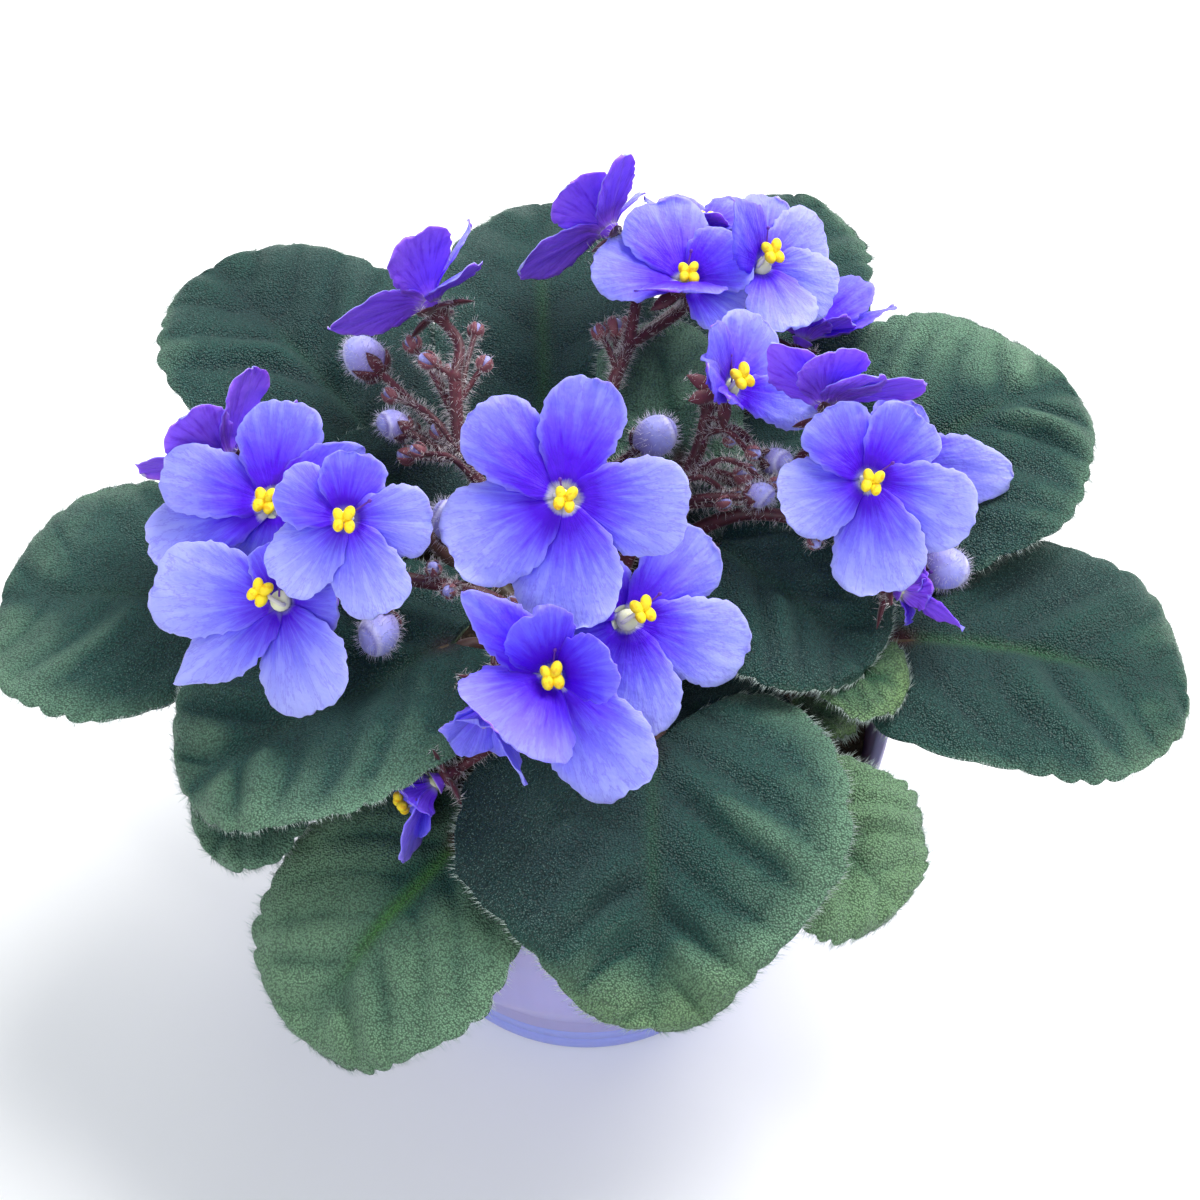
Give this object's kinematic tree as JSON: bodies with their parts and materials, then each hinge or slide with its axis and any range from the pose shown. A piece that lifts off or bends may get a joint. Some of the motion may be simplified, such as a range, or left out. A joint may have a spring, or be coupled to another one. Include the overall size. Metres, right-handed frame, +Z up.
{
  "type": "potted african violet",
  "caption": "Flowering house plant in a frosted round nursery pot: a low rosette of velvety scalloped leaves under a dense head of violet blooms on hairy stalks.",
  "frame": {"origin": "centre of the pot's underside, on the surface that it stands on", "axes": "+Z up the pot's axis, -Y towards the front of the plant, +X to its right as seen from the front"},
  "size_m": [0.2402, 0.2029, 0.1587],
  "materials": {
    "pot": "frosted, slightly translucent lavender plastic with faint vertical lines",
    "soil": "damp dark peat with fine crumbs",
    "stalk": "fleshy burgundy stalks with fine pale hairs",
    "leaf": "velvety dark green with pale hairs and sunken veins",
    "petal": "soft satin blue-violet, paler at the margin and deeper at the throat",
    "anther": "matte bright yellow"
  },
  "bodies": {
    "root": {"pot": "pot", "soil": "soil", "crown": "stalk", "leaf_front": "leaf", "leaf_front_left": "leaf", "leaf_front_right": "leaf", "leaf_right": "leaf", "leaf_back_right": "leaf", "leaf_inner_right": "leaf", "leaf_small_right": "leaf", "leaf_tiny_right": "leaf", "leaf_left": "leaf", "leaf_low_left": "leaf", "leaf_far_left": "leaf", "leaf_back_left": "leaf", "leaf_back": "leaf", "leaf_back_far_right": "leaf", "leaf_inner_back": "leaf", "leaf_inner_left": "leaf", "spray_front": "stalk", "spray_left": "stalk", "spray_back_left": "stalk", "spray_back": "stalk", "spray_back_right": "stalk", "spray_right": "stalk", "bloom_middle": "petal", "bloom_middle_right": "petal", "bloom_front": "petal", "bloom_right": "petal", "bloom_right_behind": "petal", "bloom_inner_right": "petal", "bloom_back_right": "petal", "bloom_back": "petal", "bloom_left": "petal", "bloom_low_left": "petal", "bloom_far_left": "petal", "bloom_left_back": "petal", "bloom_back_left": "petal", "bloom_top": "petal", "bloom_tall_right": "petal", "bloom_right_back": "petal", "bloom_low_right": "petal", "bloom_drooping": "petal", "bloom_low_front": "petal", "bloom_hidden": "petal", "anthers_middle": "anther", "anthers_middle_right": "anther", "anthers_front": "anther", "anthers_right": "anther", "anthers_right_behind": "anther", "anthers_inner_right": "anther", "anthers_back_right": "anther", "anthers_back": "anther", "anthers_left": "anther", "anthers_low_left": "anther", "anthers_far_left": "anther", "anthers_back_left": "anther", "anthers_top": "anther", "anthers_low_front": "anther"}
  },
  "joints": []
}
